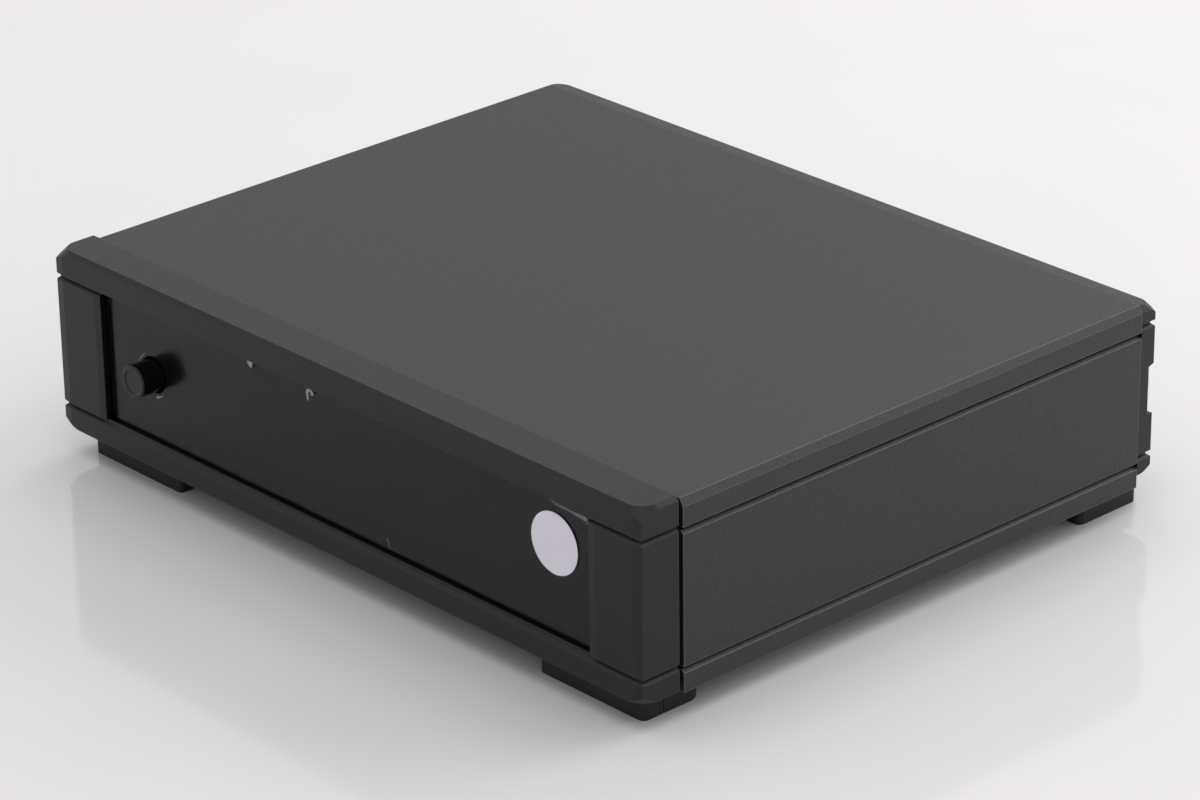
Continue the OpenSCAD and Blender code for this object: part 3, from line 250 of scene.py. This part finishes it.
# Rubber of the feet: dull, with a paler highlight painted along its edges
RUBBER = plastic("matt_rubber", "#121212", "#191818", (0.50, 0.62), 0.40, 0.02, 0.35,
                 patch_mm=2.0, gloss=0.35, edge="#2c2b2b", edge_mm=0.3)
# Powder-coated steel of the rear panel: an even matt black with a slight orange peel
STEEL_COAT = plastic("powder_coated_steel", "#161616", "#1b1a1b", (0.48, 0.60), 0.35, 0.03, 0.40)
# Glass-filled nylon of the socket blocks, the switch and the inlet: black and dry
BLOCK = plastic("glass_filled_nylon", "#0d0d0d", "#131313", (0.40, 0.52), 0.30, 0.01, 0.20)
# Coated paper of the round sticker: a cool white with hardly any sheen
PAPER = plastic("coated_paper", "#e9e6f2", "#eeebf6", (0.50, 0.58), 0.20, 0.004, 0.12)
# Ivory nylon of the plunger and the relay's case: creamy and soft
IVORY = plastic("ivory_nylon", "#c6c0b2", "#cdc8bb", (0.34, 0.42), 0.30, 0.008, 0.15)
# White nylon of the sockets' inserts and the lamp: brighter, with a clean satin gloss
WHITE_NYLON = plastic("white_nylon", "#dcdad3", "#e2e0da", (0.32, 0.40), 0.25, 0.006, 0.12)
# Solder mask on the boards: a deep green lacquer
BOARD = plastic("solder_mask", "#123a27", "#174530", (0.28, 0.36), 0.80, 0.012, 0.15)
# Shrink sleeve round the electrolytic capacitors: a tight dark blue skin
SLEEVE = plastic("shrink_sleeve", "#18212d", "#1d2835", (0.22, 0.30), 1.20, 0.01, 0.10)
# Dipped resin of the film capacitors: a rounded, glossy brick red
DIPPED = plastic("dipped_resin", "#7d2418", "#8b2b1e", (0.18, 0.26), 1.50, 0.02, 0.15)
# Moulded epoxy of chips and regulator: a dull, fine black
EPOXY = plastic("moulded_epoxy", "#111111", "#171717", (0.45, 0.55), 0.25, 0.01, 0.25)
# Lacquered film resistors: a glossy pale blue
LACQUER = plastic("lacquered_film", "#3f6f9c", "#487aa8", (0.22, 0.30), 0.80, 0.008, 0.12)
# Bright nickel of the socket shells and the ground post's nuts: a warm white metal
NICKEL = metal("bright_nickel_plating", "#cfcabd", "#dbd7cc", (0.16, 0.24))
# Gold flash on the sockets' contacts: thin, pale and bright
GOLD = metal("gold_flash_plating", "#cdb06a", "#d8be7c", (0.18, 0.26))
# Turned brass of the stud and the standoffs: yellow, with fine marks round the stud
BRASS = metal("turned_brass", "#b89a5a", "#c4a768", (0.26, 0.36), (1.0, 6.0, 1.0))
# Zinc plate of the plain screws: a cool, slightly cloudy grey
ZINC = metal("zinc_plate", "#a4a5a8", "#b2b3b5", (0.28, 0.38))
# Black oxide of the screws that show: nearly black, with a dull glint
OXIDE = metal("black_oxide_steel", "#1c1c1e", "#252527", (0.34, 0.44))
# Drawn steel of the button's spring: a smooth mid grey
SPRING = metal("drawn_spring_steel", "#8d8d8f", "#9b9b9d", (0.22, 0.32))
# Black anodised aluminium of the heat sink: dark, with faint drawn lines up its fins
SINK = metal("black_anodised_aluminium", "#19191b", "#202022", (0.38, 0.48), (1.0, 1.0, 0.2))


def clear_plastic(name, tint, rough, opacity):
    """A thin clear sheet: mostly see-through, with its own gloss."""
    made, tree, shader, coords = new_material(name, Base_Color=linear(tint), IOR=PLASTIC_IOR,
                                              Alpha=opacity)
    tree.links.new(rough_range(tree, coords, rough[0], rough[1], SHEET_PATCH_MM),
                   shader.inputs["Roughness"])
    return made


# Polyethylene film, laid flat: it clings, and hardly shows on the gloss behind it
FILM = clear_plastic("protective_polyethylene", "#4a494c", (0.22, 0.34), 0.02)
# The same film where it is creased or stretched, which turns it milky
CREASED_FILM = clear_plastic("creased_polyethylene", "#c9c8cc", (0.30, 0.42), 0.22)
# The film where it is torn and rolled up on itself: milkier still, so that it reads as white
TORN_FILM = clear_plastic("torn_polyethylene", "#d6d4d6", (0.34, 0.46), 0.48)
# Clear acrylic of the light guide: glassy and faintly blue
GUIDE = clear_plastic("clear_acrylic", "#dfe6ee", (0.08, 0.14), 0.45)

FINISHES = {
    "front_bezel": BEZEL, "rear_bezel": BEZEL, "front_panel": PANEL, "protective_film": FILM,
    "film_sticker": PAPER, "power_button": BUTTON, "switch_plunger": IVORY,
    "button_spring": SPRING, "power_switch": BLOCK, "front_board": BOARD,
    "indicator_lamp": WHITE_NYLON, "light_guide": GUIDE, "board_header": BLOCK,
    "top_cover": BODY, "side_panel_left": BODY, "side_panel_right": BODY,
    "bottom_tray": BODY, "rear_panel": STEEL_COAT, "foot_screws": ZINC, "cover_screws": OXIDE,
    "bezel_screws": OXIDE, "board_standoffs": BRASS, "board_screws": ZINC, "main_board": BOARD,
    "socket_screws": OXIDE, "ground_collar": BLOCK, "ground_stud": BRASS,
    "ground_lock_nut": NICKEL, "ground_washer": NICKEL, "ground_thumb_nut": NICKEL,
    "inlet_body": BLOCK, "inlet_pin": NICKEL,
    "large_capacitors": SLEEVE, "small_capacitors": SLEEVE, "film_capacitors": DIPPED,
    "amplifier_chips": EPOXY, "gain_resistors": LACQUER, "voltage_regulator": EPOXY,
    "heat_sink": SINK, "muting_relay": IVORY,
}
for corner in ("front_left", "front_right", "rear_left", "rear_right"):
    FINISHES["foot_" + corner] = RUBBER
for pair in ("input", "output"):
    FINISHES[pair + "_socket_block"] = BLOCK
    FINISHES[pair + "_socket_shells"] = NICKEL
    FINISHES[pair + "_socket_inserts"] = WHITE_NYLON
    FINISHES[pair + "_socket_contacts"] = GOLD
for name, finish in FINISHES.items():
    NODES[name].data.materials.clear()
    NODES[name].data.materials.append(finish)


# ------------------------------------------------------------------ loose bits of the film

# The film's front face in the part's frame, its thickness, and the gap under a scrap that has
# no lift. A scrap has this many rows of faces across it, and is rounded below this angle.
FILM_FRONT_Y = -73.475
FILM_THICKNESS = 0.1
SCRAP_GAP = 0.02
SCRAP_ROWS = 4
SCRAP_SMOOTH_ANGLE = 50
# What stands off the film is seen from the right and from above. A scrap's places are those it
# covers on the film, so it is shifted by this much in x and z for each millimetre of lift.
LIFT_SHIFT = (1.2, 0.73)


def film_scrap(name, path, widths, lifts, curl, finish):
    """A scrap of film that has come off the sheet. It is a strip along a path of (x, z) places
    on the film, each with its width and how far its middle stands off, and curl is how much
    further off its two sides stand. All are in millimetres."""
    bpy.ops.object.select_all(action="DESELECT")
    columns = len(path) - 1
    bpy.ops.mesh.primitive_grid_add(x_subdivisions=columns, y_subdivisions=SCRAP_ROWS, size=MM)
    scrap = bpy.context.object
    scrap.name = name
    by_column = [[v.index for v in scrap.data.vertices if round((v.co.x / MM + 0.5) * columns) == c]
                 for c in range(columns + 1)]
    by_row = [[v.index for v in scrap.data.vertices if round((v.co.y / MM + 0.5) * SCRAP_ROWS) == r]
              for r in range(SCRAP_ROWS + 1)]

    # Selects the wanted points alone and goes into edit mode
    def take(wanted):
        bpy.ops.object.mode_set(mode="EDIT")
        bpy.context.tool_settings.mesh_select_mode = (True, False, False)
        bpy.ops.mesh.select_all(action="DESELECT")
        bpy.ops.object.mode_set(mode="OBJECT")
        for index in wanted:
            scrap.data.vertices[index].select = True
        bpy.ops.object.mode_set(mode="EDIT")

    for row, chosen in enumerate(by_row):
        take(chosen)
        bpy.ops.transform.translate(value=(0, 0, curl * MM * (2 * row / SCRAP_ROWS - 1) ** 2))
    for column, chosen in enumerate(by_column):
        before, after = path[max(column - 1, 0)], path[min(column + 1, columns)]
        slope = math.atan2(after[1] - before[1], after[0] - before[0])
        start = Vector(((column / columns - 0.5) * MM, 0.0, 0.0))
        take(chosen)
        bpy.ops.transform.resize(value=(1, widths[column], 1), center_override=start)
        bpy.ops.transform.rotate(value=-slope, orient_axis="Z", center_override=start)
        (x, z), lift = path[column], lifts[column]
        goal = Vector((x + LIFT_SHIFT[0] * lift, z + LIFT_SHIFT[1] * lift, lift)) * MM
        bpy.ops.transform.translate(value=goal - start)
    bpy.ops.mesh.select_all(action="SELECT")
    bpy.ops.transform.rotate(value=-math.pi / 2, orient_axis="X", center_override=(0, 0, 0))
    bpy.ops.transform.translate(value=(0, (FILM_FRONT_Y - FILM_THICKNESS / 2 - SCRAP_GAP) * MM, 0))
    bpy.ops.object.mode_set(mode="OBJECT")
    smooth = scrap.modifiers.new("smooth", "SUBSURF")
    smooth.levels = smooth.render_levels = 1
    bpy.ops.object.modifier_apply(modifier="smooth")
    wall = scrap.modifiers.new("wall", "SOLIDIFY")
    wall.thickness = FILM_THICKNESS * MM
    wall.offset = 0.0
    bpy.ops.object.modifier_apply(modifier="wall")
    bpy.ops.object.shade_smooth_by_angle(angle=math.radians(SCRAP_SMOOTH_ANGLE))
    scrap.data.materials.append(finish)
    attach(scrap, "case")
    return scrap


def arc(centre, radius, start, end, steps):
    """Places along an arc of the given radius, between two angles in degrees."""
    angles = [math.radians(start + (end - start) * i / steps) for i in range(steps + 1)]
    return [(centre[0] + radius * math.cos(a), centre[1] + radius * math.sin(a)) for a in angles]


# The edge has come away along the top right, and its curl widens towards the corner
film_scrap("film_lifted_edge",
           [(63.6, 40.69), (64.9, 40.64), (66.2, 40.58), (67.4, 40.53), (68.5, 40.46),
            (69.3, 40.26), (70.3, 40.22), (71.4, 40.18), (72.4, 40.14), (73.3, 40.1),
            (73.9, 40.08)],
           [0.12, 0.18, 0.2, 0.22, 0.26, 0.44, 0.54, 0.66, 0.78, 0.9, 0.96],
           [0.05, 0.08, 0.08, 0.1, 0.14, 0.18, 0.22, 0.26, 0.3, 0.32, 0.32], 0.3, CREASED_FILM)
film_scrap("film_crease", [(64.6, 40.07), (65.8, 40.1), (66.9, 40.08), (68.1, 40.05)],
           [0.08, 0.16, 0.16, 0.08], [0.02, 0.06, 0.06, 0.02], 0.05, CREASED_FILM)
film_scrap("film_corner_fold", [(73.95, 39.8), (74.0, 39.5), (74.0, 39.2), (74.0, 38.98)],
           [0.5, 0.34, 0.24, 0.1], [0.2, 0.16, 0.1, 0.03], 0.2, CREASED_FILM)

# Two nicks at the top edge: a flake and a curled shaving
film_scrap("film_flake",
           [(-27.15, 40.85), (-27.1, 40.6), (-27.05, 40.3), (-26.98, 39.98), (-26.9, 39.7),
            (-26.85, 39.45)],
           [2.1, 1.7, 1.3, 0.9, 0.5, 0.15], [0.3, 0.35, 0.35, 0.25, 0.15, 0.05], 0.2, TORN_FILM)
film_scrap("film_shaving",
           [(-8.74, 38.07), (-8.85, 38.65), (-8.8, 39.25), (-9.0, 39.8), (-8.95, 40.25),
            (-8.4, 40.5), (-7.8, 40.42), (-7.3, 40.28), (-7.15, 39.95), (-7.4, 39.65),
            (-7.85, 39.7)],
           [0.2, 0.45, 0.5, 0.55, 0.6, 0.62, 0.6, 0.6, 0.55, 0.5, 0.3],
           [0.05, 0.15, 0.2, 0.3, 0.35, 0.4, 0.4, 0.35, 0.3, 0.25, 0.2], 0.25, TORN_FILM)

# Round the button the film was cut by hand: a raised rim at the top left, a burr at the foot
BUTTON_CENTRE = (-60.3, 27.1)
film_scrap("film_raised_rim", arc(BUTTON_CENTRE, 4.75, 158, 112, 12),
           [0.08, 0.14, 0.2, 0.26, 0.3, 0.32, 0.32, 0.3, 0.28, 0.24, 0.2, 0.14, 0.08],
           [0.03, 0.06, 0.08, 0.1, 0.12, 0.12, 0.12, 0.1, 0.1, 0.08, 0.06, 0.04, 0.03],
           0.1, CREASED_FILM)
film_scrap("film_burr", arc(BUTTON_CENTRE, 4.85, 282, 312, 8),
           [0.2, 0.5, 0.62, 0.4, 0.2, 0.16, 0.14, 0.12, 0.08],
           [0.1, 0.25, 0.3, 0.2, 0.1, 0.08, 0.06, 0.04, 0.02], 0.2, TORN_FILM)

# A knife tick near the bottom edge, and a speck left beside the button
film_scrap("film_knife_tick",
           [(14.44, 15.26), (14.7, 14.75), (14.95, 14.2), (15.2, 13.65), (15.4, 13.15)],
           [0.36, 0.16, 0.12, 0.12, 0.08], [0.1, 0.06, 0.05, 0.05, 0.02], 0.1, CREASED_FILM)
film_scrap("film_speck", [(-54.5, 19.35), (-54.35, 19.4), (-54.2, 19.4), (-54.05, 19.38)],
           [0.12, 0.28, 0.28, 0.12], [0.03, 0.08, 0.08, 0.03], 0.05, CREASED_FILM)


# ------------------------------------------------------------------ floor and light

FLOOR_SIZE = 8.0
FLOOR_PATCH_MM = 60.0


def make_floor():
    """A gloss table top that fades into a pale backdrop, with a faint mirror image."""
    bpy.ops.object.select_all(action="DESELECT")
    bpy.ops.mesh.primitive_plane_add(size=FLOOR_SIZE, location=(0.0, 0.0, 0.0))
    floor = bpy.context.object
    floor.name = "table_top"
    made, tree, shader, coords = new_material("gloss_laminate", IOR=1.45, Roughness=0.09)
    tree.links.new(mottle(tree, coords, ("#ebe9ea", "#edebec"), FLOOR_PATCH_MM),
                   shader.inputs["Base Color"])
    floor.data.materials.append(made)


# Each lamp: its name, its place and aim in millimetres, its size in metres and its watts
LAMPS = (
    ("overhead", (0, 0, 1500), (0, 0, 20), (1.6, 1.6), 7.7),
    ("rear", (0, 1500, 1000), (0, 0, 20), (1.6, 1.2), 7.4),
    ("rear_right", (500, 900, 450), (0, 0, 20), (0.9, 0.7), 3.2),
)
# The room's tone, and the share of it that lights the part
ROOM_TONE = "#f0eeef"
WORLD_LIGHT = 0.68


def soft_box(name, place_mm, aim_mm, size_m, watts):
    """A studio lamp with a broad soft face, turned to its aim."""
    data = bpy.data.lights.new(name, "AREA")
    data.shape = "RECTANGLE"
    data.size, data.size_y = size_m
    data.energy = watts
    lamp = bpy.data.objects.new(name, data)
    bpy.context.scene.collection.objects.link(lamp)
    place, aim = Vector(place_mm) * MM, Vector(aim_mm) * MM
    lamp.location = place
    lamp.rotation_euler = (aim - place).to_track_quat("-Z", "Y").to_euler()


def make_world():
    """A pale room: at full strength where it is seen, mirrored or looked through."""
    world = bpy.data.worlds.new("pale_room")
    bpy.context.scene.world = world
    world.use_nodes = True
    tree = world.node_tree
    tree.nodes.clear()
    path = add(tree, "ShaderNodeLightPath")
    seen = add(tree, "ShaderNodeBackground", Color=linear(ROOM_TONE), Strength=1.0)
    lit = add(tree, "ShaderNodeBackground", Color=linear(ROOM_TONE), Strength=WORLD_LIGHT)
    shown = path.outputs["Is Camera Ray"]
    for ray in ("Is Glossy Ray", "Is Transmission Ray"):
        shown = add(tree, "ShaderNodeMath", {0: shown, 1: path.outputs[ray]},
                    operation="MAXIMUM").outputs[0]
    mix = add(tree, "ShaderNodeMixShader", {0: shown, 1: lit.outputs[0], 2: seen.outputs[0]})
    add(tree, "ShaderNodeOutputWorld", {"Surface": mix.outputs[0]})


make_floor()
make_world()
for lamp in LAMPS:
    soft_box(*lamp)
bpy.context.scene.view_settings.view_transform = "Standard"
